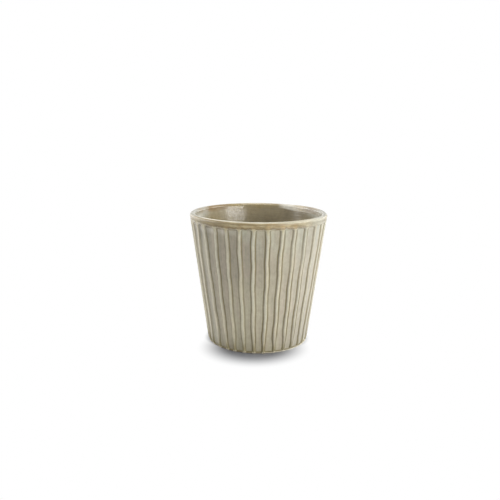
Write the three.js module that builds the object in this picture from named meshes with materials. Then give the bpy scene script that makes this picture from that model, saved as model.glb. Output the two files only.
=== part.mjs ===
// A handleless espresso cup in ribbed, glazed stoneware.
// Millimetres and degrees, +Z up, with the origin under the centre of the foot.
// Angles round the cup are counted from its front, at -Y, towards +X.
import * as THREE from "three";

// Overall form, measured over the rib crests
const cupHeight = 60;
const rimDiameter = 62.6;
const baseDiameter = 46.4;

// Layers of the wall, from the ribs inwards
const ribHeight = 0.45;
const glazeThickness = 0.3;
const clayAtRim = 1.2;
const clayAtFoot = 3.2;
const bondGap = 0.1;

// Lip, floor and foot
const rimRingHeight = 2.8;
const lipRound = 1.4;
const floorThickness = 4.5;
const innerFillet = 6;
const footHeight = 0.9;
const footWidth = 4.5;
const footChamfer = 0.7;

// Ribs
const ribCount = 32;
const ribWidth = 2.2;
const firstRibAngle = -37.3;
const flareShare = 0.7;
const flareLength = 1.3;

// Each rib wanders as a line pulled by hand does: it is set aside, leans, bows and snakes.
// The first sixteen ribs set the pattern, which comes twice round the cup.
const snakeLength = 18;
const snakeSwing = 0.28;
const ribHands = [
  { aside: 0.3, lean: -0.8, bow: -1.3, phase: 120 },
  { aside: 0, lean: -0.2, bow: -0.8, phase: -130 },
  { aside: -0.2, lean: -0.3, bow: -0.3, phase: 50 },
  { aside: -0.4, lean: 0.2, bow: -0.5, phase: 10 },
  { aside: 0, lean: 0.4, bow: 0.9, phase: 130 },
  { aside: 0, lean: 0.5, bow: -0.1, phase: 120 },
  { aside: 0.1, lean: 0.3, bow: 0.2, phase: 10 },
  { aside: 0.4, lean: 0.6, bow: 0.3, phase: -60 },
  { aside: 1.2, lean: 0.7, bow: 0.4, phase: -100 },
  { aside: 1.8, lean: 1.4, bow: 1.4, phase: -110 },
  { aside: 0.6, lean: -0.4, bow: -0.6, phase: 70 },
  { aside: -0.3, lean: 0.4, bow: 0.5, phase: -140 },
  { aside: 0.2, lean: -0.5, bow: 0.8, phase: 20 },
  { aside: -0.6, lean: 0.3, bow: -0.9, phase: 100 },
  { aside: -1.2, lean: 0.1, bow: -1.9, phase: 150 },
  { aside: -0.2, lean: -1.3, bow: -1.2, phase: -140 },
];

// Fineness of the facets
const turnSegments = 64;
const arcSteps = 3;
const ribSteps = 18;
const ribCrownSteps = 2;
const endCrowding = 0.6;

// Clay and glazes
const fired = (color, roughness) =>
  new THREE.MeshStandardMaterial({ color, roughness, metalness: 0 });
const bareClay = fired(0xb8a88c, 0.85);
const wallGlaze = fired(0xaaa38e, 0.4);
const linerGlaze = fired(0x857a63, 0.2);
const rimGlaze = fired(0xa9966c, 0.3);
const ribGlaze = fired(0xcac2a9, 0.35);

// Heights where the pieces meet
const rimSeat = cupHeight - rimRingHeight;
const wallBottom = footHeight + bondGap;
const wallTop = rimSeat - bondGap;
const clayFloor = wallBottom + floorThickness;
const linerBack = clayFloor + bondGap;
const cupFloor = linerBack + glazeThickness;

// Radii of each layer at a height, worked inwards from the crests
const lipStart = cupHeight - lipRound;
const crestSlope = (rimDiameter - baseDiameter) / 2 / lipStart;
const crestRadius = (z) => baseDiameter / 2 + crestSlope * z;
const ribSeatRadius = (z) => crestRadius(z) - ribHeight;
const wallGlazeRadius = (z) => ribSeatRadius(z) - bondGap;
const clayOuterRadius = (z) => wallGlazeRadius(z) - glazeThickness - bondGap;
const clayThickness = (z) =>
  THREE.MathUtils.mapLinear(z, wallBottom, wallTop, clayAtFoot, clayAtRim);
const clayInnerRadius = (z) => clayOuterRadius(z) - clayThickness(z);
const linerBackRadius = (z) => clayInnerRadius(z) - bondGap;
const cupInnerRadius = (z) => linerBackRadius(z) - glazeThickness;
const insideSlope =
  crestSlope + (clayAtFoot - clayAtRim) / (wallTop - wallBottom);
const insideLean = Math.atan(insideSlope);

// A solid turned about the cup's axis from a profile of radius and height.
function turned(name, profile, material) {
  const points = profile.getPoints(arcSteps);
  const mesh = new THREE.Mesh(
    new THREE.LatheGeometry(points, turnSegments),
    material,
  );
  mesh.rotation.x = Math.PI / 2;
  mesh.name = name;
  return mesh;
}

// Centre of the fillet that joins a flat floor to the sloping inside wall.
function filletCentre(radiusAt, floor, fillet) {
  const height = floor + fillet;
  return {
    radius: radiusAt(height) - fillet / Math.cos(insideLean),
    height,
  };
}

// Starts a profile on the axis and takes it along a floor, round the fillet and up the wall.
function riseInside(profile, radiusAt, floor, fillet) {
  const centre = filletCentre(radiusAt, floor, fillet);
  profile.moveTo(0, floor);
  profile.lineTo(centre.radius, floor);
  profile.absarc(
    centre.radius,
    centre.height,
    fillet,
    -Math.PI / 2,
    -insideLean,
    false,
  );
  profile.lineTo(radiusAt(wallTop), wallTop);
}

// Continues a profile down the wall, round the fillet and along a floor to the axis.
function fallInside(profile, radiusAt, floor, fillet) {
  const centre = filletCentre(radiusAt, floor, fillet);
  profile.lineTo(radiusAt(wallTop), wallTop);
  profile.absarc(
    centre.radius,
    centre.height,
    fillet,
    -insideLean,
    -Math.PI / 2,
    true,
  );
  profile.lineTo(0, floor);
}

// The fired clay: a tapering wall and a floor in one piece.
function stonewareBody() {
  const profile = new THREE.Path();
  profile.moveTo(0, wallBottom);
  profile.lineTo(clayOuterRadius(wallBottom), wallBottom);
  profile.lineTo(clayOuterRadius(wallTop), wallTop);
  fallInside(
    profile,
    clayInnerRadius,
    clayFloor,
    innerFillet + glazeThickness + bondGap,
  );
  return turned("stoneware_body", profile, bareClay);
}

// The ring of bare clay that the cup stands on. Its top carries the floor and the rib ends.
function footRing() {
  const insideRadius = baseDiameter / 2 - footWidth;
  const profile = new THREE.Path();
  profile.moveTo(insideRadius, 0);
  profile.lineTo(baseDiameter / 2 - footChamfer, 0);
  profile.lineTo(crestRadius(footChamfer), footChamfer);
  profile.lineTo(crestRadius(footHeight), footHeight);
  profile.lineTo(insideRadius, footHeight);
  profile.closePath();
  return turned("foot_ring", profile, bareClay);
}

// The rounded lip: a ring on top of the wall, as proud outside as the ribs.
function rimRing() {
  const outer = crestRadius(lipStart);
  const inner = cupInnerRadius(lipStart);
  const profile = new THREE.Path();
  profile.moveTo(cupInnerRadius(rimSeat), rimSeat);
  profile.lineTo(crestRadius(rimSeat), rimSeat);
  profile.absellipse(
    (outer + inner) / 2,
    lipStart,
    (outer - inner) / 2,
    lipRound,
    0,
    Math.PI,
    false,
  );
  profile.closePath();
  return turned("rim_ring", profile, rimGlaze);
}

// The glaze coat on the outside, between the foot and the rim, which shows between the ribs.
function outerGlaze() {
  const backRadius = (z) => wallGlazeRadius(z) - glazeThickness;
  const profile = new THREE.Path();
  profile.moveTo(backRadius(wallBottom), wallBottom);
  profile.lineTo(wallGlazeRadius(wallBottom), wallBottom);
  profile.lineTo(wallGlazeRadius(wallTop), wallTop);
  profile.lineTo(backRadius(wallTop), wallTop);
  profile.closePath();
  return turned("outer_glaze", profile, wallGlaze);
}

// The glaze coat on the inside, over the floor and up the wall to the rim.
function innerGlaze() {
  const profile = new THREE.Path();
  riseInside(profile, linerBackRadius, linerBack, innerFillet + glazeThickness);
  fallInside(profile, cupInnerRadius, cupFloor, innerFillet);
  return turned("inner_glaze", profile, linerGlaze);
}

// How far a rib strays from its straight line at a height, in degrees.
function wander(hand, z) {
  const middle = (wallBottom + wallTop) / 2;
  const share = (z - middle) / (wallTop - middle);
  const turns = (2 * Math.PI * z) / snakeLength;
  const snake = Math.sin(turns + THREE.MathUtils.degToRad(hand.phase));
  const bend = hand.bow * (1 / 3 - share ** 2);
  return hand.aside + hand.lean * share + bend + snakeSwing * snake;
}

// How much wider a rib is at a height: it flares where it runs into the foot and the rim.
function flare(z) {
  const toEnd = Math.min(z - wallBottom, wallTop - z);
  return 1 + flareShare * Math.exp(-((toEnd / flareLength) ** 2));
}

// One rib: a bar with a rounded crown, bent onto the wall along its wandering line.
function rib(index, angle) {
  const middleRadius = ribSeatRadius(cupHeight / 2);
  const halfAngle = ribWidth / 2 / middleRadius;
  const section = new THREE.Shape();
  section.moveTo(0, 0);
  section.lineTo(halfAngle, 0);
  section.absellipse(0, 0, halfAngle, ribHeight, 0, Math.PI, false);
  section.lineTo(0, 0);
  const bar = new THREE.ExtrudeGeometry(section, {
    depth: 1,
    steps: ribSteps,
    curveSegments: ribCrownSteps,
    bevelEnabled: false,
  });
  const hand = ribHands[index % ribHands.length];
  const points = bar.attributes.position;
  const point = new THREE.Vector3();
  for (let i = 0; i < points.count; i++) {
    point.fromBufferAttribute(points, i);
    const crowd =
      (endCrowding * Math.sin(2 * Math.PI * point.z)) / (2 * Math.PI);
    const z = THREE.MathUtils.lerp(wallBottom, wallTop, point.z - crowd);
    const turn = THREE.MathUtils.degToRad(wander(hand, z)) - point.x * flare(z);
    const radius = ribSeatRadius(z) + point.y;
    points.setXYZ(i, radius * Math.sin(turn), -radius * Math.cos(turn), z);
  }
  const mesh = new THREE.Mesh(bar, ribGlaze);
  mesh.rotation.z = THREE.MathUtils.degToRad(angle);
  mesh.name = `rib_${String(index + 1).padStart(2, "0")}`;
  return mesh;
}

const ribs = new THREE.Group();
for (let index = 0; index < ribCount; index++) {
  ribs.add(rib(index, firstRibAngle + (index * 360) / ribCount));
}

const cup = new THREE.Group();
cup.add(
  stonewareBody(),
  footRing(),
  rimRing(),
  outerGlaze(),
  innerGlaze(),
  ribs,
);

export default cup;
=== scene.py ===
import math
import bpy
import numpy as np
from mathutils import Matrix, Vector


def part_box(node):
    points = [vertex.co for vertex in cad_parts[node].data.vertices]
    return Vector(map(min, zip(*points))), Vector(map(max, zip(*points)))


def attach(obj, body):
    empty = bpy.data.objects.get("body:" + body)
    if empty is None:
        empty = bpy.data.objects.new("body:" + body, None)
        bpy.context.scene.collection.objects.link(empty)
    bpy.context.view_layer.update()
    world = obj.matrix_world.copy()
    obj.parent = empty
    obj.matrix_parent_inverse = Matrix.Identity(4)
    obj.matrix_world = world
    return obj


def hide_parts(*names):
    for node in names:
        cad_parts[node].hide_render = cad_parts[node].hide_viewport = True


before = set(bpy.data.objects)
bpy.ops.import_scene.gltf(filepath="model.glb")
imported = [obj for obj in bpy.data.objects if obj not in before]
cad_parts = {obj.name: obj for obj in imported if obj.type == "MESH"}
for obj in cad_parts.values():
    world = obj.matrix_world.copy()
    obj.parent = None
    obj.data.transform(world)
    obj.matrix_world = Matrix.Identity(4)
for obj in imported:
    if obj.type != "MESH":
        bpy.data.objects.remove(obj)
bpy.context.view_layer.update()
mm = 0.001
perMetre = 1 / mm            # metres to mm, in the shaders
print("frame loaded:", len(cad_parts), "nodes")


def corners(node):
    # lowest and highest corner of a solid, metres to mm
    return np.array(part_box(node)) / mm


# the cup's measures in mm: those at its top and of the wall's height are the frame's
# the others are as in the solids, but for the tuck
rimHigh = corners("rim_ring")[1]
glazeLow, glazeHigh = corners("outer_glaze")
cup = {
    "height": rimHigh[2],
    "rimRadius": rimHigh[0],   # over the band, where the lip starts to round
    "baseRadius": 23.2,
    "tuck": 0.3,             # how far the outside curves in at the very foot
    "tuckHeight": 3.0,
    "lipRound": 1.4,
    "wallLow": glazeLow[2],    # wall piece runs from here
    "wallHigh": glazeHigh[2],   # to here
    "thickLow": 4.55,        # rib crest to inside face, at wallLow
    "thickHigh": 2.55,       # and at wallHigh
    "glazeBack": 0.85,       # rib crest to the back of the outer glaze
    "floor": 5.9,
    "fillet": 6.0,
    "sharpAngle": 50,        # degrees, shading breaks at sharper edges
}
lipStart = cup["height"] - cup["lipRound"]
coneSlope = (cup["rimRadius"] - cup["baseRadius"]) / lipStart
thinning = (cup["thickLow"] - cup["thickHigh"]) / (cup["wallHigh"] - cup["wallLow"])


def crestRadius(z):
    # straight cone over the rib crests, less tuck * (1 - z / tuckHeight)^2 near the foot
    nearFoot = np.clip(1 - z / cup["tuckHeight"], 0, 1)
    return cup["baseRadius"] + coneSlope * z - cup["tuck"] * nearFoot**2


def innerRadius(z):
    # crest cone less a wall that thins evenly towards the rim
    return crestRadius(z) - cup["thickLow"] + thinning * (z - cup["wallLow"])


# ribs: each one strays from its straight line in its own way; sixteen of them repeat round the cup
ribs = {
    "count": 32,
    "first": -37.6,
    "hands": [               # degrees set aside, lean and bow, then the phase of the snake
        (0.3, -0.8, -1.3, 120), (0.0, -0.2, -0.8, -130), (-0.2, -0.3, -0.3, 50), (-0.4, 0.2, -0.5, 10),
        (0.0, 0.4, 0.9, 130), (0.0, 0.5, -0.1, 120), (0.1, 0.3, 0.2, 10), (0.4, 0.6, 0.3, -60),
        (1.2, 0.7, 0.4, -100), (1.8, 1.4, 1.4, -110), (0.6, -0.4, -0.6, 70), (-0.3, 0.4, 0.5, -140),
        (0.2, -0.5, 0.8, 20), (-0.6, 0.3, -0.9, 100), (-1.2, 0.1, -1.9, 150), (-0.2, -1.3, -1.2, -140),
    ],
    "setApart": 2.4,         # radians between the waves of neighbours
    "snakeLength": 18.0,     # mm
    "snakeSwing": 0.28,      # degrees
    "tremble": 0.07,         # short unsteadiness of the hand, degrees
    "trembleLength": 6.7,    # mm
    "columns": 28,           # mesh columns from rib to rib
    "crowding": 0.55,        # how far they crowd to the rib
    "height": 0.42,
    "crestHalf": 0.2,        # flat of the crest, half of it
    "uneven": 0.18,          # how much that width comes and goes
    "unevenLength": 17.0,
    "side": 0.9,             # run of the sloping side
    "clear": (0.5, 1.4),     # mm from the rib's middle, where its tip passes into the foot's ledge
    "slim": 0.35,            # how much narrower the ribs get towards the foot
    "slimFrom": (2.5, 9.0),  # mm of height over which they do
    "panelLow": 0.42,        # where the panels end above the floor
    "panelStop": 0.03,       # and how far below the top of the wall
    "corner": (1.0, 1.5),    # rounding of the panel's corners, at the foot and at the rim
    "endSteep": (1.9, 1.3),  # how much steeper its ends are than its sides, at the foot and at the rim
    "ledge": 0.15,           # how far the foot stands back from the ribs
    "groove": 0.06,          # cut along the rib's foot
    "grooveWide": 0.3,
    "facet": 0.25,           # hollow of a panel's middle
}
pitch = 360 / ribs["count"]
hands = np.array(ribs["hands"], float)
panelLow = ribs["panelLow"]
panelHigh = cup["wallHigh"] - ribs["panelStop"]
panelMiddle = (panelLow + panelHigh) / 2


def ribAngle(index, z):
    # straight line + aside + lean * u + bow * (1/3 - u^2) + snake + tremble
    # u is -1 at the foot and 1 at the rim
    middle = (cup["wallLow"] + cup["wallHigh"]) / 2
    u = (z - middle) / (cup["wallHigh"] - middle)
    aside, lean, bow, phase = np.moveaxis(hands[index % len(hands)], -1, 0)
    snake = np.sin(2 * np.pi * z / ribs["snakeLength"] + np.radians(phase))
    shake = np.sin(2 * np.pi * z / ribs["trembleLength"] + ribs["setApart"] * (index % ribs["count"]))
    wander = aside + lean * u + bow * (1 / 3 - u**2)
    wander = wander + ribs["snakeSwing"] * snake + ribs["tremble"] * shake
    return ribs["first"] + pitch * index + wander


def smooth(share):
    # 0 to 1 without a corner at either end: 3 s^2 - 2 s^3
    share = np.clip(share, 0, 1)
    return share * share * (3 - 2 * share)


def ramp(value, start, end):
    # smooth step from 0 at start to 1 at end
    return smooth((value - start) / (end - start))


def ribSlim(z):
    # share of its full width that a rib has at a height, less towards the foot
    return 1 - ribs["slim"] * (1 - ramp(z, *ribs["slimFrom"]))


def crestWidth(index, z):
    # half the crest's flat: a mean width that comes and goes along the rib, wider with the cone
    wave = np.sin(2 * np.pi * z / ribs["unevenLength"] + 2 * ribs["setApart"] * (index % ribs["count"]))
    cone = crestRadius(z) / crestRadius(cup["height"] / 2)
    return ribs["crestHalf"] * (1 + ribs["uneven"] * wave) * cone * ribSlim(z)


# mesh columns: each one lies some share of the way from the rib on its left to the next
columnCount = ribs["count"] * ribs["columns"]
columnPlace = np.arange(columnCount) / ribs["columns"]
ribLeft = np.floor(columnPlace).astype(int)
across = columnPlace - ribLeft
across = across - ribs["crowding"] * np.sin(2 * np.pi * across) / (2 * np.pi)
leftHalf = across < 0.5
nearestRib = np.where(leftHalf, ribLeft, ribLeft + 1)
ribSide = np.where(leftHalf, 1.0, -1.0)   # column lies to the right or the left of its nearest rib


def columnAngles(z):
    # every column keeps its share of the way from the rib on its left to the rib on its right
    left = ribAngle(ribLeft, z)
    right = ribAngle(ribLeft + 1, z)
    return left, right, left + across * (right - left)


def panelInset(z, fromMiddle, halfWide):
    # distance inside a panel: its corners' radius - how far a point lies past their centres
    # between the centres it is the distance from the nearest edge
    low = z < panelMiddle
    corner = np.where(low, *ribs["corner"])
    endSteep = np.where(low, *ribs["endSteep"])
    overX = np.abs(fromMiddle) - (halfWide - corner)
    overZ = endSteep * (np.abs(z - panelMiddle) - (panelHigh - panelLow) / 2) + corner
    outside = np.hypot(np.maximum(overX, 0), np.maximum(overZ, 0))
    return corner - outside - np.minimum(np.maximum(overX, overZ), 0)


def fluted(z):
    # radius = crest cone - depth; depth rises with the distance inside a panel and hollows its middle
    z = np.asarray(z, float).reshape(-1, 1)
    left, right, angle = columnAngles(z)
    arc = np.radians(right - left) * crestRadius(z)
    fromMiddle = (across - 0.5) * arc
    fromRib = arc / 2 - np.abs(fromMiddle)
    halfWide = arc / 2 - crestWidth(nearestRib, z)
    inset = panelInset(z, fromMiddle, halfWide) / ribSlim(z)
    share = smooth(inset / ribs["side"])
    hollow = np.clip(1 - (fromMiddle / halfWide) ** 2, 0, 1)
    cut = np.exp(-((inset - ribs["side"]) / ribs["grooveWide"]) ** 2)
    ledge = ribs["ledge"] * ramp(fromRib, *ribs["clear"]) * (1 - share) * (z < panelHigh / 2)
    depth = share * (ribs["height"] + ribs["facet"] * hollow) + ribs["groove"] * cut + ledge
    return angle, crestRadius(z) - depth, inset, fromRib


def placed(angle, radius, z):
    # angle counted from the front (-Y) towards +X, in degrees; mm to metres
    turn = np.radians(angle)
    flat = np.broadcast_arrays(radius * np.sin(turn), -radius * np.cos(turn), z + 0 * turn)
    return np.stack(flat, -1) * mm


def listed(grid, closed):
    # a grid of values as one list; an open grid keeps a single value for each pole
    tail = grid.shape[2:]
    if closed:
        return grid.reshape(-1, *tail)
    return np.concatenate([grid[0, :1], grid[1:-1].reshape(-1, *tail), grid[-1, :1]])


def gridFaces(rows, columns, closed):
    # quads between neighbours, wrapped round the axis; closed rows wrap too, open ones end in triangles
    if closed:
        index = np.arange(rows * columns).reshape(rows, columns)
        index = np.vstack([index, index[:1]])
    else:
        between = (rows - 2) * columns
        index = np.zeros((rows, columns), int)
        index[1:-1] = 1 + np.arange(between).reshape(rows - 2, columns)
        index[-1] = between + 1
    lower, upper = index[:-1], index[1:]
    quads = np.stack([lower, np.roll(lower, -1, 1), np.roll(upper, -1, 1), upper], -1)
    if closed:
        return quads.reshape(-1, 4).tolist()
    caps = quads[0][:, [0, 2, 3]].tolist() + quads[-1][:, [0, 1, 2]].tolist()
    return quads[1:-1].reshape(-1, 4).tolist() + caps


def meshFrom(name, points, closed, marks):
    # rows run up the outside, columns round the axis; closed rows wrap, open ones end in poles on the axis
    mesh = bpy.data.meshes.new(name)
    mesh.from_pydata(listed(points, closed).tolist(), [], gridFaces(*points.shape[:2], closed))
    for key, value in marks.items():
        mark = mesh.attributes.new(key, "FLOAT", "POINT")
        mark.data.foreach_set("value", listed(value, closed).astype(np.float32))
    mesh.shade_smooth()
    mesh.set_sharp_from_angle(angle=math.radians(cup["sharpAngle"]))
    piece = bpy.data.objects.new(name, mesh)
    bpy.context.scene.collection.objects.link(piece)
    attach(piece, "root")
    print(name, "made:", len(mesh.polygons), "faces")
    return piece


def crowded(count, share):
    # 0 to 1 with steps that shrink towards both ends
    t = np.linspace(0, 1, count)
    return t - share * np.sin(2 * np.pi * t) / (2 * np.pi)


# fluted wall
wall = {"rows": 104, "crowding": 0.8}


def makeWall():
    # outer face from the fluted function; its back is the plain cone behind the glaze
    z = cup["wallLow"] + (cup["wallHigh"] - cup["wallLow"]) * crowded(wall["rows"], wall["crowding"])
    angle, radius, inset, fromRib = fluted(z)
    outer = placed(angle, radius, z[:, None])
    backZ = np.array([[cup["wallHigh"]], [cup["wallLow"]]])
    back = placed(angle[[-1, 0]], crestRadius(backZ) - cup["glazeBack"], backZ)
    blank = np.zeros_like(back[..., 0])
    return meshFrom("fluted_wall", np.concatenate([outer, back]), True, {
        "inset": np.concatenate([inset, blank]),
        "fromRib": np.concatenate([fromRib, blank]),
        "ribSide": ribSide + np.zeros((len(outer) + len(back), 1)),
    })


# lip
lip = {
    "bandRows": 8,
    "roundRows": 26,
    "hollow": 0.1,           # of the band under the lip
    "inset": -0.3,           # the lip counts as crest: this far outside a panel
}


def makeLip():
    # band on the crest cone, half an ellipse over the top, then the inside cone down to the liner
    z = np.linspace(cup["wallHigh"], lipStart, lip["bandRows"], endpoint=False)
    up = (z - cup["wallHigh"]) / (lipStart - cup["wallHigh"])
    band = crestRadius(z) - lip["hollow"] * np.sin(np.pi * up) ** 2
    turn = np.linspace(0, np.pi, lip["roundRows"])
    middle = (crestRadius(lipStart) + innerRadius(lipStart)) / 2
    half = (crestRadius(lipStart) - innerRadius(lipStart)) / 2
    downZ = z[::-1]
    radius = np.concatenate([band, middle + half * np.cos(turn), innerRadius(downZ)])
    height = np.concatenate([z, lipStart + cup["lipRound"] * np.sin(turn), downZ])
    inside = np.concatenate([0 * z, turn / np.pi, 0 * z + 1])
    angle, _, _, fromRib = fluted(cup["wallHigh"])
    points = placed(angle, radius[:, None], height[:, None])
    blank = np.zeros_like(points[..., 0])
    return meshFrom("lip", points, True, {
        "inset": blank + lip["inset"],
        "fromRib": blank + fromRib,
        "inside": blank + inside[:, None],
    })


# liner
liner = {
    "wallRows": 44,
    "filletRows": 14,
    "floorRows": 12,
    "thick": 0.3,
    "backStep": 6,           # the back keeps every sixth row
}


def insideProfile(offset):
    # floor from the axis, a round fillet, then the inside cone; offset sinks it all into the wall
    lean = math.atan(coneSlope + thinning)
    fillet = cup["fillet"] + offset
    floor = cup["floor"] - offset
    centreZ = floor + fillet
    centreR = innerRadius(centreZ) + offset - fillet / math.cos(lean)
    turn = np.linspace(-np.pi / 2, -lean, liner["filletRows"])
    floorR = np.linspace(0, centreR, liner["floorRows"], endpoint=False)
    r = np.concatenate([floorR, centreR + fillet * np.cos(turn)])
    z = np.concatenate([np.full(liner["floorRows"], floor), centreZ + fillet * np.sin(turn)])
    upZ = np.linspace(z[-1], cup["wallHigh"], liner["wallRows"] + 1)[1:]
    return np.concatenate([r, innerRadius(upZ) + offset]), np.concatenate([z, upZ])


def makeLiner():
    # inside profile turned round the axis, with a second one behind it for the glaze's thickness
    backR, backZ = insideProfile(liner["thick"])
    frontR, frontZ = insideProfile(0)
    keep = slice(None, None, liner["backStep"])
    radius = np.concatenate([backR[keep], backR[-1:], frontR[::-1]])
    height = np.concatenate([backZ[keep], backZ[-1:], frontZ[::-1]])
    angle = columnAngles(cup["wallHigh"])[2]
    points = placed(angle, radius[:, None], height[:, None])
    return meshFrom("liner", points, False, {"inside": np.ones_like(points[..., 0])})


# foot
foot = {
    "innerRadius": 18.7,
    "edge": 0.35,            # rounding outside
    "innerEdge": 0.7,        # and inside
    "sideRows": 10,
    "roundRows": 8,
    "bottomRows": 10,
    "glazeEnd": 0.06,        # height where the glaze stops
}


def makeFoot():
    # flat ring below, rounded edge, then the lower end of the ribs and panels; rounded inner edge
    edge, inner, low = foot["edge"], foot["innerEdge"], cup["wallLow"]
    turn = np.linspace(-np.pi / 2, 0, foot["roundRows"])
    sideZ = np.linspace(edge, low, foot["sideRows"])[1:]
    height = np.concatenate([edge + edge * np.sin(turn), sideZ])
    side = np.concatenate([edge * np.cos(turn) - edge, 0 * sideZ])
    angle, outer, inset, fromRib = fluted(height)
    outer = outer + side[:, None]
    share = np.linspace(0, 1, foot["bottomRows"], endpoint=False)[:, None]
    bottom = foot["innerRadius"] + inner + share * (outer[:1] - foot["innerRadius"] - inner)
    innerR = foot["innerRadius"] + inner - inner * np.cos(turn[::-1])
    innerZ = np.append(low, (inner + inner * np.sin(turn[::-1]))[1:])
    radius = np.concatenate([bottom, outer, innerR[:, None] + 0 * outer[:1]])
    z = np.concatenate([0 * share[:, 0], height, innerZ])
    below, above = np.zeros(len(share), int), np.full(len(innerZ), len(height) - 1)
    row = np.concatenate([below, np.arange(len(height)), above])
    points = placed(angle[row], radius, z[:, None])
    bare = np.concatenate([0 * share[:, 0] + 1, 1 - smooth(height / foot["glazeEnd"]), 0 * innerZ + 1])
    return meshFrom("foot", points, True, {
        "inset": inset[row],
        "fromRib": fromRib[row],
        "ribSide": ribSide + np.zeros((len(row), 1)),
        "bare": np.zeros_like(points[..., 0]) + bare[:, None],
    })


# clay under the glazes
clay = {
    "gap": 0.1,
    "rings": 0.05,           # depth of the turning rings, half of it
    "ringPitch": 2.3,
    "overFoot": 1.5,         # how far the underside runs out over the foot
    "underRows": 80,
    "backStep": 3,           # the inside keeps every third row
    "columns": 192,
}


def makeClay():
    # plain turned body; its underside keeps shallow turning rings, 1 - cos of the radius
    low, high = cup["wallLow"], cup["wallHigh"]
    underR = np.linspace(0, foot["innerRadius"] + clay["overFoot"], clay["underRows"])
    ripple = 1 - np.cos(2 * np.pi * underR / clay["ringPitch"])
    underZ = low + clay["rings"] * ripple * (underR < foot["innerRadius"])
    backR, backZ = insideProfile(liner["thick"] + clay["gap"])
    down = slice(None, None, -clay["backStep"])
    sideZ = np.array([low, high])
    sideR = crestRadius(sideZ) - cup["glazeBack"] - clay["gap"]
    radius = np.concatenate([underR, sideR, backR[down], [0]])
    height = np.concatenate([underZ, sideZ, backZ[down], backZ[:1]])
    angle = np.arange(clay["columns"]) * 360 / clay["columns"]
    points = placed(angle, radius[:, None], height[:, None])
    return meshFrom("clay_body", points, False, {"bare": np.ones_like(points[..., 0])})


pieces = {
    "wall": makeWall(),
    "lip": makeLip(),
    "liner": makeLiner(),
    "foot": makeFoot(),
    "clay": makeClay(),
}


class Wire:
    # one output socket; + - * / on it add Math nodes, with a number or another Wire on either side
    def __init__(self, tree, socket=None):
        self.tree = tree
        self.socket = socket

    def node(self, kind, settings=None, sockets=None, out=0):
        # any node: its type, its settings, then the values or links of its sockets
        made = self.tree.nodes.new("ShaderNode" + kind)
        for key, value in (settings or {}).items():
            setattr(made, key, value)
        for key, value in (sockets or {}).items():
            if isinstance(value, Wire):
                self.tree.links.new(value.socket, made.inputs[key])
            else:
                made.inputs[key].default_value = value
        return Wire(self.tree, made.outputs[out] if len(made.outputs) else None)

    def maths(self, operation, *values):
        # one Math node with these inputs
        return self.node("Math", {"operation": operation}, dict(enumerate(values)))

    def __add__(self, other):
        return self.maths("ADD", self, other)

    __radd__ = __add__

    def __sub__(self, other):
        return self.maths("SUBTRACT", self, other)

    def __rsub__(self, other):
        return self.maths("SUBTRACT", other, self)

    def __mul__(self, other):
        return self.maths("MULTIPLY", self, other)

    __rmul__ = __mul__

    def __neg__(self):
        return self * -1

    def __truediv__(self, other):
        return self.maths("DIVIDE", self, other)

    def __rtruediv__(self, other):
        return self.maths("DIVIDE", other, self)

    def __abs__(self):
        return self.maths("ABSOLUTE", self)

    def larger(self, other):
        # the greater of the two
        return self.maths("MAXIMUM", self, other)

    def smaller(self, other):
        # the lesser of the two
        return self.maths("MINIMUM", self, other)

    def rise(self, low, high):
        # smooth step from 0 at low to 1 at high
        return self.node("MapRange", {"interpolation_type": "SMOOTHSTEP"}, {0: self, 1: low, 2: high})

    def fall(self, low, high):
        # the reverse: 1 at low, 0 at high
        return 1 - self.rise(low, high)

    def blend(self, under, over):
        # colour under where this is 0, over where it is 1
        return self.node("Mix", {"data_type": "RGBA"}, {0: self, 6: under, 7: over}, 2)

    def distance(self, point):
        # mm from a point given in metres
        apart = self.node("VectorMath", {"operation": "DISTANCE"}, {0: self, 1: point}, out="Value")
        return apart * perMetre


def emptyTree(owner):
    # clears the nodes of a material or world and gives a Wire to build with
    owner.use_nodes = True
    owner.node_tree.nodes.clear()
    return Wire(owner.node_tree)


screen = {"knee": 0.04045, "slope": 12.92, "lift": 0.055, "power": 2.4}   # the sRGB curve


def paint(r, g, b):
    # 0-255 as seen on screen, to linear: a straight start, then a power curve
    s = np.array([r, g, b]) / 255
    curve = ((s + screen["lift"]) / (1 + screen["lift"])) ** screen["power"]
    linear = np.where(s <= screen["knee"], s / screen["slope"], curve)
    return (*linear.tolist(), 1.0)


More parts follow.
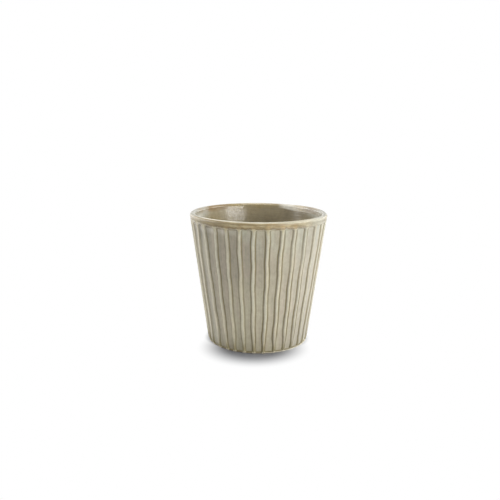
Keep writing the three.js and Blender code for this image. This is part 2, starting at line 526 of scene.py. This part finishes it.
# colours as on screen
glaze = {
    "panel": paint(166, 160, 137),
    "panelWarm": paint(164, 156, 135),
    # painted sheen: the panels on the lit right side greyed as a white reflection would
    "panelRightSheen": paint(167, 161, 145),
    "panelTopHighlight": paint(192, 184, 168),
    "mauve": paint(146, 139, 121),
    "rose": paint(170, 156, 140),
    "tint": paint(160, 167, 152),
    "cream": paint(184, 179, 158),
    "creamWarm": paint(186, 178, 154),
    # glaze run together beside the ribs, also laid there as painted shade
    "pooledAndShaded": paint(118, 108, 75),
    "olive": paint(152, 144, 112),
    "ribFoot": paint(140, 131, 96),
    # painted highlight on the rib tips and the foot's edge, towards the lit right
    "ribTipHighlight": paint(182, 174, 150),
    "footHighlight": paint(222, 216, 198),
    "footDark": paint(122, 106, 82),
    "band": paint(170, 157, 122),
    "bandDark": paint(136, 121, 84),
    # dark brown at the band's lower edge, partly glaze and partly painted shade; also the painted shade
    # under the band
    "bandEdge": paint(120, 104, 70),
    "ochre": paint(162, 132, 84),
    "lip": paint(170, 163, 138),
    "lipHighlight": paint(238, 231, 212),
    # painted highlight on the lip at the front left
    "lipEnd": paint(153, 150, 137),
    # painted highlight on the lip's top at the back right
    "lipBackHighlight": paint(202, 199, 187),
    # painted highlight of the crescent inside the rim at the back right
    "crescentHighlight": paint(232, 229, 217),
    "rimTan": paint(208, 197, 174),
    "rimWarm": paint(172, 160, 141),
    "rimSide": paint(175, 173, 159),
    # painted light on the inside at both ends of the rim
    "insideEndLight": paint(214, 211, 199),
    "inside": paint(146, 132, 97),
    "insidePale": paint(158, 147, 118),
    "insideDark": paint(100, 90, 68),
    "insideOchre": paint(152, 134, 82),
    "insideBrown": paint(128, 102, 56),
    "clay": paint(190, 172, 142),
}

# patterns of the glaze: size in mm, drawn out up the wall or around the rim, shifted to set them apart
# cut gives the two levels between which a pattern turns from 0 to 1
grains = {
    "cloud": {"size": 14, "up": 2, "detail": 3, "shift": 0, "cut": (0.35, 0.65)},
    "streak": {"size": 0.8, "up": 16, "detail": 2, "shift": 40},
    "fine": {"size": 0.45, "detail": 2, "shift": 80},
    "stain": {"size": 9, "detail": 3, "shift": 120, "cut": (0.42, 0.66)},
    "tint": {"size": 6, "up": 3, "detail": 2, "shift": 160, "cut": (0.42, 0.58)},
    "bandWave": {"size": 3, "detail": 2, "shift": 200},
    "ragged": {"size": 2.2, "up": 2.5, "detail": 2, "shift": 240},
    "cream": {"size": 5, "up": 3, "detail": 2, "shift": 300, "cut": (0.4, 0.62)},
    "patch": {"size": 7, "detail": 2, "shift": 340, "cut": (0.4, 0.58)},
    "grain": {"size": 1.3, "up": 1.5, "detail": 3, "shift": 380},
    "turned": {"size": 0.7, "around": 12, "detail": 2, "shift": 420},
    "grey": {"size": 11, "up": 1.6, "detail": 2, "shift": 460, "cut": (0.52, 0.7)},
    "mottle": {"size": 1.5, "around": 2.5, "detail": 3, "shift": 500, "cut": (0.38, 0.6)},
    "worn": {"size": 8, "detail": 2, "shift": 540, "cut": (0.38, 0.56)},
    "rose": {"size": 2.6, "up": 3, "detail": 2, "shift": 620, "cut": (0.5, 0.68)},
    "topFleck": {"size": 3, "up": 2, "detail": 2, "shift": 660, "cut": (0.35, 0.6)},
    "bandRipple": {"size": 1.1, "up": 2, "detail": 2, "shift": 700},
}
unrolled = 27                # mm, radius that the patterns are laid round
grainRoughness = 0.55
grainMean = 0.5              # level that an uncut pattern keeps to

# sides of the cup: mm over which each one begins
sides = {
    "front": (12, 24),
    "frontTurn": 0.25,       # the front is turned a little to the left
    "right": (2, 22),
    "left": (4, 20),
    "back": (2, 14),
    "backLeft": (-6, 12),
    "backRight": (4, 12),
    "ends": (21.5, 27),      # both ends of the rim
    "onRight": (-1, 1),
    "lee": (0.4, 0.95),      # share of the radius, the side away from the main lamp
}
raggedEdge = 0.2             # mm that the edges of the glaze stray


class Spot:
    # the point being painted: its place in mm, the marks of the mesh, and the sides of the cup it is on
    def __init__(self, root):
        self.root = root
        self.place = root.node("TexCoord", out="Object")
        axes = [root.node("SeparateXYZ", None, {0: self.place}, out=i) * perMetre for i in range(3)]
        self.x, self.y, self.z = axes
        self.radius = self.z * coneSlope + cup["baseRadius"]
        self.inset = self.mark("inset") + (self.noise("ragged") - grainMean) * raggedEdge
        self.fromRib = self.mark("fromRib")
        self.rightOfRib = 0.5 + 0.5 * self.mark("ribSide")
        self.inside = self.mark("inside")
        self.bare = self.mark("bare")
        self.cloud = self.noise("cloud")
        self.stain = self.noise("stain")
        self.patch = self.noise("patch")
        self.findSides()

    def mark(self, key):
        # value of a mesh attribute, 0 on a mesh without it
        return self.root.node("Attribute", {"attribute_name": key}, out="Fac")

    def noise(self, key):
        # noise on the unrolled wall, so that its grain keeps its size from foot to rim
        grain = grains[key]
        flat = unrolled / grain.get("around", 1)
        vector = self.root.node("CombineXYZ", None, {
            0: self.x / self.radius * flat,
            1: self.y / self.radius * flat + grain["shift"],
            2: self.z / grain.get("up", 1),
        })
        level = self.root.node("TexNoise", None, {
            "Vector": vector,
            "Scale": 1 / grain["size"],
            "Detail": grain["detail"],
            "Roughness": grainRoughness,
        })
        return level.rise(*grain["cut"]) if "cut" in grain else level

    def findSides(self):
        # each side is 0 elsewhere and 1 well on it
        x, y = self.x, self.y
        self.front = (-y - sides["frontTurn"] * x).rise(*sides["front"])
        self.right = x.rise(*sides["right"])
        self.left = (-x).rise(*sides["left"])
        self.back = y.rise(*sides["back"])
        self.backLeft = self.back * x.fall(*sides["backLeft"])
        self.backRight = self.back * x.rise(*sides["backRight"])
        self.wide = abs(x)
        self.ends = self.wide.rise(*sides["ends"])
        self.aside = self.wide / self.radius
        self.onRight = x.rise(*sides["onRight"])
        self.lee = (1 - self.onRight) * self.aside.rise(*sides["lee"])


# panels; across is mm to the right, height mm from the floor, share how much of a colour is laid over
panelPaint = {
    # share of the painted sheen on the right
    "rightShare": 0.9,
    "greyPlace": (-0.010, -0.027, 0.043),   # metres
    "greyReach": (5, 19),    # mm from that place
    "greyShare": 0.8,
    "greyCloud": 0.3,
    "roseShare": 0.3,
    "tintShare": 0.35,
    "tintHeight": (40, 57),
    "tintAcross": (-16, -4),
    "dimShare": 0.5,         # mauve at the top on the far left
    "dimAcross": (16, 24),   # mm to the left
    "dimHeight": (47, 54),
    "topAcross": (-12.5, -6),
    "topShare": (0.4, 0.4),  # painted highlight at the top on the left: even part, then flecked part
    "topHeight": (53.0, 55.4),
    "underBandShade": 0.5,        # painted shade close under the band, in the brown of the band's edge
    "underAcross": (-28, -23),
    "underHeight": (55.8, 56.5),
    "footHeight": (0.6, 1.3),
}


def panelColour(at):
    # taupe clouds, greyer in one place on the left, rose flecks, green tint towards the top; painted sheen
    # on the right, painted highlight at the top left, painted shade under the band
    p = panelPaint
    panel = at.cloud.blend(glaze["panel"], glaze["panelWarm"])
    # painted sheen over the panels on the lit right side
    panel = (p["rightShare"] * at.right).blend(panel, glaze["panelRightSheen"])
    greyPlace = at.place.distance(p["greyPlace"]).fall(*p["greyReach"])
    grey = p["greyShare"] * greyPlace + p["greyCloud"] * at.noise("grey")
    panel = grey.blend(panel, glaze["mauve"])
    panel = (p["roseShare"] * at.noise("rose")).blend(panel, glaze["rose"])
    tinted = at.z.rise(*p["tintHeight"]) * at.noise("tint") * at.x.rise(*p["tintAcross"])
    panel = (tinted * p["tintShare"]).blend(panel, glaze["tint"])
    dim = p["dimShare"] * (-at.x).rise(*p["dimAcross"]) * at.z.rise(*p["dimHeight"])
    panel = dim.blend(panel, glaze["mauve"])
    onLeft = at.x.fall(*p["topAcross"])
    even, flecked = p["topShare"]
    # painted highlight on the panels' tops on the left
    topHighlight = (even + flecked * at.noise("topFleck")) * at.z.rise(*p["topHeight"]) * onLeft
    panel = topHighlight.blend(panel, glaze["panelTopHighlight"])
    # painted shade on the panels' tops under the band, on the left
    under = p["underBandShade"] * at.z.rise(*p["underHeight"]) * onLeft * at.x.rise(*p["underAcross"])
    panel = under.blend(panel, glaze["bandEdge"])
    return at.z.fall(*p["footHeight"]).blend(panel, glaze["olive"])


# glaze run together beside the ribs, with painted shade: moved, widened and faded by side as the lamps
# fall; start and end are mm into a panel, aside a share of the radius
poolAndShadePaint = {
    "start": (0.42, 0.68),
    "end": (0.85, 1.3),
    "leeShift": 0.2,         # further from the rib on its right, on the cup's lee side
    "litWider": 0.3,         # wider on the rib's right, where the cup is lit
    "litFrom": (6, 13),      # mm to the right
    "litTo": (21, 25),
    "rightLess": 0.2,
    "topLess": 0.7,          # fainter along the panel's top
    "topHeight": (54.5, 55.5),
    "topFromRib": (0.9, 1.8),
    "leftLess": 0.8,         # fainter on the left of the ribs, on the left of the cup, where they face the light
    "leftAside": (0.2, 0.6),
    "farLess": (0.55, 0.4),  # fainter towards the outline; less so on the right
    "farRib": 0.6,           # but more so right of the ribs there
    "farAside": (0.72, 0.92),
}


def poolAndShadeShare(at):
    # 1 in a narrow strip along the foot of each rib: pooled glaze and painted shade, faded by side where
    # the cup is lit
    p = poolAndShadePaint
    lit = at.rightOfRib * at.x.rise(*p["litFrom"]) * at.x.fall(*p["litTo"])
    pool = at.pooling.rise(*p["start"]) * (at.pooling - p["litWider"] * lit).fall(*p["end"])
    alongTop = at.z.rise(*p["topHeight"]) * at.fromRib.rise(*p["topFromRib"])
    pool = pool * (1 - p["rightLess"] * at.right * (1 - lit)) * (1 - p["topLess"] * alongTop)
    thin = p["leftLess"] * at.aside.rise(*p["leftAside"]) * (1 - at.onRight) * (1 - at.rightOfRib)
    far = at.aside.rise(*p["farAside"])
    leftFar, rightFar = p["farLess"]
    pool = pool * (1 - thin) * (1 - (leftFar - rightFar * at.onRight) * far)
    return pool * (1 - p["farRib"] * at.onRight * far * at.rightOfRib)


# ribs
ribPaint = {
    "poolAndShadeShare": (0.7, 0.5),     # even part, then clouded part
    "crest": (0.12, 0.42),       # mm into a panel
    "crestReach": (0.9, 1.3),    # mm from the rib's middle
    "rightLess": 0.4,
    "fade": (1.5, 13.0),         # height over which the pale crest comes in
    "stainHeight": (53.5, 56.8),
    "stainShare": (0.45, 0.4),
    "body": (0.5, 1.1),          # mm from the rib's middle, where the rib ends
    "footShare": 0.7,
    "footHeight": (2.0, 5.5),
    # the edge at the floor and the rib tips: painted highlight, paler towards the lit right, darker to the
    # left
    "edgeHeight": (0.35, 0.65),
    "edgeAcross": (-10, 20),
    "tipHeight": (0.5, 1.0),
    "tipAcross": (3, 19),
}


def wallColour(at, panel):
    # pools and painted shade beside the ribs, cream over their crests, olive at their feet, and a painted
    # highlight on the edge at the floor and the rib tips, paler to the right
    p = ribPaint
    even, clouded = p["poolAndShadeShare"]
    body = (at.pool * (even + clouded * at.cloud)).blend(panel, glaze["pooledAndShaded"])
    crest = at.pooling.fall(*p["crest"]) * at.fromRib.fall(*p["crestReach"])
    cream = at.noise("cream").blend(glaze["cream"], glaze["creamWarm"])
    lessRight = 1 - p["rightLess"] * at.right
    even, stained = p["stainShare"]
    topStain = at.z.rise(*p["stainHeight"]) * (even + stained * at.stain) * lessRight
    cream = topStain.blend(cream, glaze["band"])
    body = (crest * lessRight * at.z.rise(*p["fade"])).blend(body, cream)
    body = (p["footShare"] * at.onRib * at.z.fall(*p["footHeight"])).blend(body, glaze["ribFoot"])
    # painted highlight along the edge at the floor, on the right
    footEdgeLight = at.x.rise(*p["edgeAcross"]).blend(glaze["footDark"], glaze["footHighlight"])
    body = at.z.fall(*p["edgeHeight"]).blend(body, footEdgeLight)
    ribTipHighlight = at.x.rise(*p["tipAcross"]).blend(glaze["ribTipHighlight"], glaze["footHighlight"])
    return (at.onRib * at.z.fall(*p["tipHeight"])).blend(body, ribTipHighlight)


# stained band under the lip
bandPaint = {
    "start": (56.7, 57.2),       # height
    "clear": (57.3, 58.0),       # where its dark lower edge ends: glaze run together, and painted shade under the band
    "wave": 1.1,                 # mm that its edge strays, slowly
    "ripple": 0.9,               # and quickly
    "leftUp": 0.2,               # mm higher on the left
    "farUp": 0.4,                # and more at the far left
    "farAcross": (18, 25),       # mm to the left
    "nearRib": (0.5, 1.4),       # mm from the rib's middle
    "leftDark": 0.6,
    "ochreShare": (0.3, 0.4),    # even part, then by the ribs
    "ochreRightLess": 0.6,
    "edgeRibLess": 0.5,
    "edgeRightLess": 0.7,
    "edgeAcross": (17, 26),
    "away": (28.4, 30.4),        # mm to either side, where the band turns away
    "least": 0.25,               # share that is there all round
    "creamShare": 0.3,
    "creamAcross": (20, 28),     # mm to the left
    "creamDepth": (-4, 4),
    "lineIn": (0.02, 0.07),      # share over the lip's round
    "lineOut": (0.11, 0.16),
    "lineShare": 0.7,
    "lineRightLess": 0.7,
}


def bandColour(at, panel, height):
    # brown to tan mottle with ochre stains and a dark lower edge, partly pooled glaze and partly painted
    # shade, worn to the panel's colour round the back
    p = bandPaint
    nearRib = at.fromRib.fall(*p["nearRib"])
    mottle = at.noise("mottle") * (1 - p["leftDark"] * at.left)
    band = mottle.blend(glaze["bandDark"], glaze["band"])
    even, byRibs = p["ochreShare"]
    ochre = at.stain * (even + byRibs * nearRib) * (1 - p["ochreRightLess"] * at.right)
    band = ochre.blend(band, glaze["ochre"])
    edgeLess = (1 - p["edgeRibLess"] * nearRib) * (1 - p["edgeRightLess"] * at.x.rise(*p["edgeAcross"]))
    # dark lower edge: pooled glaze and painted shade
    band = (height.fall(*p["clear"]) * edgeLess).blend(band, glaze["bandEdge"])
    turnedAway = at.back.larger(at.wide.rise(*p["away"]))
    shown = at.front.larger(turnedAway * at.noise("worn"))
    band = (p["least"] + (1 - p["least"]) * shown).blend(panel, band)
    farLeft = p["creamShare"] * at.y.fall(*p["creamDepth"]) * (-at.x).rise(*p["creamAcross"])
    return farLeft.blend(band, glaze["cream"])


def addBand(at, panel, body):
    # lays the band over the wall from a wavy height up, with a thin dark line where the lip starts
    p = bandPaint
    height = at.z + (at.noise("bandWave") - grainMean) * p["wave"]
    height = height + (at.noise("bandRipple") - grainMean) * p["ripple"]
    height = height - p["leftUp"] * at.left - p["farUp"] * (-at.x).rise(*p["farAcross"])
    body = height.rise(*p["start"]).blend(body, bandColour(at, panel, height))
    line = at.inside.rise(*p["lineIn"]) * at.inside.fall(*p["lineOut"])
    line = line * p["lineShare"] * at.front * (1 - p["lineRightLess"] * at.right)
    return line.blend(body, glaze["bandEdge"])


# lip
lipPaint = {
    # share of the painted highlight on the right
    "rightShare": 0.15,
    "backShare": 0.6,
    "endShare": (0.4, 0.1),      # darker grey at the ends; less so on the left
    "brownAcross": (-19, -9),
    "warmAcross": (15, 21),
    "ochreShare": (0.35, 0.6),   # even part, then in patches
    "start": (0.18, 0.29),       # share over the lip's round
    "rightWider": 0.1,
    "rightAcross": (4, 14),
    "leftNarrower": 0.12,
}


def rimOchre(at):
    # ochre that turns brown towards the left
    return at.x.fall(*lipPaint["brownAcross"]).blend(glaze["insideOchre"], glaze["insideBrown"])


def addLip(at, body):
    # pale lip with a painted highlight at the front left, a little on the right and at the back right; grey
    # at its ends, ochre patches at the back left
    p = lipPaint
    colour = (at.left * at.front + p["rightShare"] * at.right).blend(glaze["lip"], glaze["lipHighlight"])
    colour = (p["backShare"] * at.back).blend(colour, glaze["band"])
    share, leftLess = p["endShare"]
    colour = at.ends.blend(colour, (share - leftLess * at.left).blend(glaze["rimSide"], glaze["lipEnd"]))
    # painted highlight on the lip at the back right, warmer further right
    rimRight = at.x.rise(*p["warmAcross"]).blend(glaze["lipBackHighlight"], glaze["rimWarm"])
    colour = at.backRight.blend(colour, rimRight)
    even, patched = p["ochreShare"]
    colour = (at.backLeft * (even + patched * at.patch)).blend(colour, rimOchre(at))
    wider = p["rightWider"] * at.x.rise(*p["rightAcross"]) - p["leftNarrower"] * at.left
    return (at.inside + at.front * wider).rise(*p["start"]).blend(body, colour)


# inside
wellPaint = {
    "start": (0.55, 0.66),       # share over the lip's round
    "darkShare": 0.4,
    "darkAcross": (9, 15),
    "darkHeight": (48, 55),
    # endHeight and glow: painted light on the inside at both ends, where the lamps reach over the rim
    "endHeight": (51.5, 58),
    "glowShare": 0.85,
    "glowWide": (25, 28.5),
    "glowHeight": (50, 57),
    "glowStop": (57, 58.4),
    # crescent: a painted highlight inside the rim at the back right
    "crescentAcross": (9, 13),
    "crescentHeight": (57.7, 58.5),
    "crescentDrop": 0.8,         # mm that it widens downwards
    "crescentDropAcross": (11, 18),
    "tanAcross": (15, 21),
    "warmAcross": (20.5, 24.5),
    "stainHeight": (56.8, 58.6),
    "stainShare": 0.2,
    "ochreShare": 0.75,
    "ochrePatch": (0.3, 0.7),    # even part, then in patches
}


def wellColour(at, start):
    # brown glaze with painted light at both ends, a painted highlight in a pale crescent at the back right,
    # and ochre at the back left
    p = wellPaint
    x, z = at.x, at.z
    well = at.cloud.blend(glaze["inside"], glaze["insidePale"])
    dark = p["darkShare"] * at.back * x.rise(*p["darkAcross"]) * z.rise(*p["darkHeight"])
    well = dark.blend(well, glaze["insideDark"])
    # painted light on the inside at both ends
    well = (at.ends * z.rise(*p["endHeight"])).blend(well, glaze["rimSide"])
    glowSide = at.left * z.fall(*p["glowStop"]) + at.right * (1 - at.back)
    glow = at.wide.rise(*p["glowWide"]) * z.rise(*p["glowHeight"]) * glowSide
    well = (p["glowShare"] * glow).blend(well, glaze["insideEndLight"])
    # painted highlight: a pale crescent inside the rim at the back right
    lowered = z + p["crescentDrop"] * x.rise(*p["crescentDropAcross"])
    crescent = at.back * x.rise(*p["crescentAcross"]) * lowered.rise(*p["crescentHeight"])
    paleRim = x.rise(*p["tanAcross"]).blend(glaze["crescentHighlight"], glaze["rimTan"])
    well = crescent.blend(well, x.rise(*p["warmAcross"]).blend(paleRim, glaze["rimWarm"]))
    even, patched = p["ochrePatch"]
    stained = p["stainShare"] * at.stain + p["ochreShare"] * at.backLeft * (even + patched * at.patch)
    return (start * z.rise(*p["stainHeight"]) * stained).blend(well, rimOchre(at))


# brightness: a level, the three fine patterns on it, and light and shade that belong to a place
lightPaint = {
    "level": 0.56,
    "drawn": 0.28,
    "fine": 0.18,
    "grain": 0.42,
    "footLeft": 0.12,            # lighter low on the left
    "footLeftHeight": (5, 24),
    "footLeftAcross": (-15, -4),
    "footRight": 0.1,            # darker low on the right
    "footRightHeight": (4, 22),
    "footRightAcross": (3, 14),
    "outline": 0.14,             # lighter towards the outline
    "outlineAside": (0.8, 0.97),
    "rimEnds": (0.2, 0.1),       # darker ends of the rim; more so on the right
    "rimEndsWide": (27.3, 29.8),
    "rimEndsHeight": (56.8, 57.6),
    "leeRib": 0.12,              # lighter ribs on the shaded side
    "lee": (0.32, 0.15),         # darker right of the ribs there; more so towards the top
    "leeHeight": (44, 54),
    "leeStart": (1.1, 1.6),      # mm right of the rib
    "leeEnd": (1.6, 4.4),
    "facing": (0.07, 0.08),      # panels in front: lighter left half, then less towards the right
    "facingFrom": (-12, -2),
    "facingTo": (17, 25),
    "facingClear": (1.2, 1.8),   # mm from the rib
    "facingTurn": (1.5, 3.6),    # mm right of the rib
    "wallTop": (56.5, 57),
}


def ribShade(at):
    # light and shade across each panel, by the distance from the rib on its left
    p = lightPaint
    spacing = at.radius * math.radians(pitch)
    toLeft = at.rightOfRib * at.fromRib + (1 - at.rightOfRib) * (spacing - at.fromRib)
    even, byHeight = p["lee"]
    leeShade = (even + byHeight * at.z.rise(*p["leeHeight"])) * at.lee
    leeShade = leeShade * toLeft.rise(*p["leeStart"]) * toLeft.fall(*p["leeEnd"])
    facing = at.x.rise(*p["facingFrom"]) * at.x.fall(*p["facingTo"]) * at.fromRib.rise(*p["facingClear"])
    lighter, turned = p["facing"]
    facing = facing * (lighter - turned * toLeft.rise(*p["facingTurn"]))
    return p["leeRib"] * at.lee * at.onRib + facing - leeShade


def brightness(at, drawn, fine):
    # level + drawn + fine + grain + light at the foot and outline - shade of the rim's ends + ribShade
    p = lightPaint
    footLeft = p["footLeft"] * at.z.fall(*p["footLeftHeight"]) * at.x.fall(*p["footLeftAcross"])
    footRight = p["footRight"] * at.z.fall(*p["footRightHeight"]) * at.x.rise(*p["footRightAcross"])
    value = p["level"] + p["drawn"] * drawn + p["fine"] * fine + p["grain"] * at.noise("grain")
    value = value + (footLeft - footRight)
    value = value + p["outline"] * (1 - at.inside) * at.aside.rise(*p["outlineAside"])
    even, moreRight = p["rimEnds"]
    rimEnds = at.wide.rise(*p["rimEndsWide"]) * at.z.rise(*p["rimEndsHeight"])
    value = value - (even + moreRight * at.right) * rimEnds
    return value + ribShade(at) * (1 - at.inside) * at.z.fall(*p["wallTop"])


# gloss
sheen = {
    "rough": 0.44,
    "poolLess": 0.1,             # glossier where it pools
    "insideLess": 0.23,          # and inside
    "clayMore": 0.43,
    "coatRough": 0.27,
    "bump": 0.25,
    "bumpDepth": 0.0002,         # metres
    "bumpDrawn": (0.6, 0.5),     # drawn pattern; more so inside
    "bumpFine": 0.4,
}


def glazeMaterial(name, refraction, level, coat):
    # broken glaze: pale over edges, dark where it runs together and with painted shade beside the ribs,
    # stained under the lip, with painted highlights and sheen in places; bare clay below
    material = bpy.data.materials.new(name)
    root = emptyTree(material)
    at = Spot(root)
    at.onRib = at.fromRib.fall(*ribPaint["body"])
    # inset of the strip, moved off the rib on the lee side as painted shade
    at.pooling = at.inset - poolAndShadePaint["leeShift"] * at.lee * at.rightOfRib
    at.pool = poolAndShadeShare(at)
    panel = panelColour(at)
    body = addLip(at, addBand(at, panel, wallColour(at, panel)))
    inWell = at.inside.rise(*wellPaint["start"])
    colour = inWell.blend(body, wellColour(at, inWell))
    colour = at.bare.blend(colour, glaze["clay"])
    streak, fine = at.noise("streak"), at.noise("fine")
    drawn = streak + at.inside * (at.noise("turned") - streak)
    colour = root.node("HueSaturation", None, {"Color": colour, "Value": brightness(at, drawn, fine)})
    rough = sheen["rough"] - sheen["poolLess"] * at.pool
    rough = rough - sheen["insideLess"] * at.inside + sheen["clayMore"] * at.bare
    even, moreInside = sheen["bumpDrawn"]
    relief = (even + moreInside * at.inside) * drawn + sheen["bumpFine"] * fine
    bump = root.node("Bump", None, {
        "Strength": sheen["bump"], "Distance": sheen["bumpDepth"], "Height": relief,
    })
    shade = root.node("BsdfPrincipled", None, {
        "Base Color": colour, "Roughness": rough, "Normal": bump,
        "IOR": refraction, "Specular IOR Level": level,
        "Coat Weight": coat, "Coat Roughness": sheen["coatRough"],
    })
    root.node("OutputMaterial", None, {"Surface": shade})
    return material


# slot in the record, then refraction, specular level and coat, then the solids that a piece stands for
ribNodes = [f"rib_{i + 1:02d}" for i in range(ribs["count"])]
finishes = {
    "wall": ("wall_glaze", (1.5, 0.1, 1.0), ["outer_glaze"] + ribNodes),
    "lip": ("rim_glaze", (1.58, 0.5, 0.0), ["rim_ring"]),
    "liner": ("liner_glaze", (1.58, 0.5, 0.0), ["inner_glaze"]),
    "foot": ("bare_clay", (1.5, 0.5, 0.0), ["foot_ring"]),
    "clay": ("bare_clay", (1.5, 0.5, 0.0), ["stoneware_body"]),
}
for key, (slot, shine, nodes) in finishes.items():
    pieces[key].data.materials.append(glazeMaterial(key + "Glaze", *shine))
    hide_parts(*nodes)
print("glazes made")

# camera that matches the photograph's frame
view = {
    "place": (0.0, -286.07, 101.92),   # mm
    "pitch": 11.825,         # degrees down
    "yaw": -0.760,
    "roll": 0.349,
    "lens": 45.36,
    "sensor": 36,
    "near": 0.01,            # metres
}


def makeCamera():
    # look along yaw and pitch, then roll about the line of sight
    down, yaw, roll = (math.radians(view[key]) for key in ("pitch", "yaw", "roll"))
    forward = math.cos(down)
    ahead = Vector((math.sin(yaw) * forward, math.cos(yaw) * forward, -math.sin(down)))
    right = Vector((math.cos(yaw), -math.sin(yaw), 0))
    up = right.cross(ahead)
    rolledRight = math.cos(roll) * right + math.sin(roll) * up
    rolledUp = math.cos(roll) * up - math.sin(roll) * right
    data = bpy.data.cameras.new("camera")
    data.lens = view["lens"]
    data.sensor_width = view["sensor"]
    data.clip_start = view["near"]
    camera = bpy.data.objects.new("camera", data)
    turn = Matrix((rolledRight, rolledUp, -ahead)).transposed()
    camera.matrix_world = Matrix.Translation(Vector(view["place"]) * mm) @ turn.to_4x4()
    bpy.context.scene.collection.objects.link(camera)
    bpy.context.scene.camera = camera


makeCamera()
print("camera made")

# studio: white floor with the shadow kept near the foot, soft boxes right, left and behind, a lamp above
white = (1, 1, 1, 1)
studio = {
    "floorSize": 4.0,
    "floorLit": (0.8, 0.8, 0.8, 1),   # floor's own whiteness
    "floorSeen": (0.29, 0.295, 0.315, 1),   # and in the shadow where it is looked at
    "shadowMiddle": (-1.5, -14.0),   # mm, the shadow stays round this point
    "shadowFade": (11.4, 26.4),   # mm from it, where the floor turns to plain white
    "contactMiddle": (-0.4, -0.4),
    "contactFade": (20.5, 25.3),   # the same close round the foot
    "skyLight": 0.12,
    "aim": (0, 0, 0.03),     # point that the lamps face
    "boxes": [
        {"name": "keyBox", "place": (0.402, -0.375, 0.095), "size": (0.38, 0.17), "power": 2.0},
        {"name": "sideBox", "place": (0.550, -0.019, 0.33), "size": (0.4, 0.3), "power": 1.75},
        {"name": "leftBox", "place": (-0.548, 0.048, 0.27), "size": (0.4, 0.24), "power": 1.8},
        {"name": "backRight", "place": (0.421, 0.354, 0.105), "size": (0.38, 0.2), "power": 0.6},
        {"name": "backLeft", "place": (-0.421, 0.354, 0.105), "size": (0.38, 0.2), "power": 0.6},
        {"name": "topLamp", "place": (0.02, 0.03, 0.62), "size": (0.25, 0.25), "power": 2.4},
    ],
}


def seenShare(root):
    # 1 for the rays that show a thing (camera, mirror, glass), 0 for the light it gives
    camera = root.node("LightPath", out="Is Camera Ray")
    glossy = root.node("LightPath", out="Is Glossy Ray")
    return camera.larger(glossy).larger(root.node("LightPath", out="Is Transmission Ray"))


def cleared(place, middle, fade):
    # 0 near a point on the floor, 1 beyond the fade
    return place.distance((middle[0] * mm, middle[1] * mm, 0)).rise(*fade)


def floorMaterial():
    # white paper; where it is looked at, it is darker near the foot and plain white further out
    material = bpy.data.materials.new("floorWhite")
    root = emptyTree(material)
    place = root.node("TexCoord", out="Object")
    pastShadow = cleared(place, studio["shadowMiddle"], studio["shadowFade"])
    pastContact = cleared(place, studio["contactMiddle"], studio["contactFade"])
    lit = root.node("BsdfDiffuse", None, {"Color": studio["floorLit"]})
    shaded = root.node("BsdfDiffuse", None, {"Color": studio["floorSeen"]})
    plain = root.node("Emission", None, {"Color": white, "Strength": 1.0})
    shown = root.node("MixShader", None, {0: pastShadow.smaller(pastContact), 1: shaded, 2: plain})
    surface = root.node("MixShader", None, {0: seenShare(root), 1: lit, 2: shown})
    root.node("OutputMaterial", None, {"Surface": surface})
    return material


def makeFloor():
    # one square under the cup
    half = studio["floorSize"] / 2
    corners = [(-half, -half, 0), (half, -half, 0), (half, half, 0), (-half, half, 0)]
    mesh = bpy.data.meshes.new("floor")
    mesh.from_pydata(corners, [], [(0, 1, 2, 3)])
    mesh.materials.append(floorMaterial())
    floor = bpy.data.objects.new("floor", mesh)
    bpy.context.scene.collection.objects.link(floor)


def makeWorld():
    # weak even light, white where it is looked at
    world = bpy.data.worlds.new("white")
    bpy.context.scene.world = world
    root = emptyTree(world)
    sky = root.node("Background", None, {"Color": white, "Strength": studio["skyLight"]})
    plain = root.node("Background", None, {"Color": white, "Strength": 1.0})
    surface = root.node("MixShader", None, {0: seenShare(root), 1: sky, 2: plain})
    root.node("OutputWorld", None, {"Surface": surface})


def makeLamps():
    # soft boxes that all face the cup and don't show themselves
    for box in studio["boxes"]:
        data = bpy.data.lights.new(box["name"], "AREA")
        data.shape = "RECTANGLE"
        data.size, data.size_y = box["size"]
        data.energy = box["power"]
        lamp = bpy.data.objects.new(box["name"], data)
        lamp.visible_camera = False
        lamp.location = box["place"]
        aim = Vector(studio["aim"]) - lamp.location
        lamp.rotation_euler = aim.to_track_quat("-Z", "Y").to_euler()
        bpy.context.scene.collection.objects.link(lamp)


makeFloor()
makeWorld()
makeLamps()
bpy.context.scene.view_settings.view_transform = "Standard"
print("studio made")
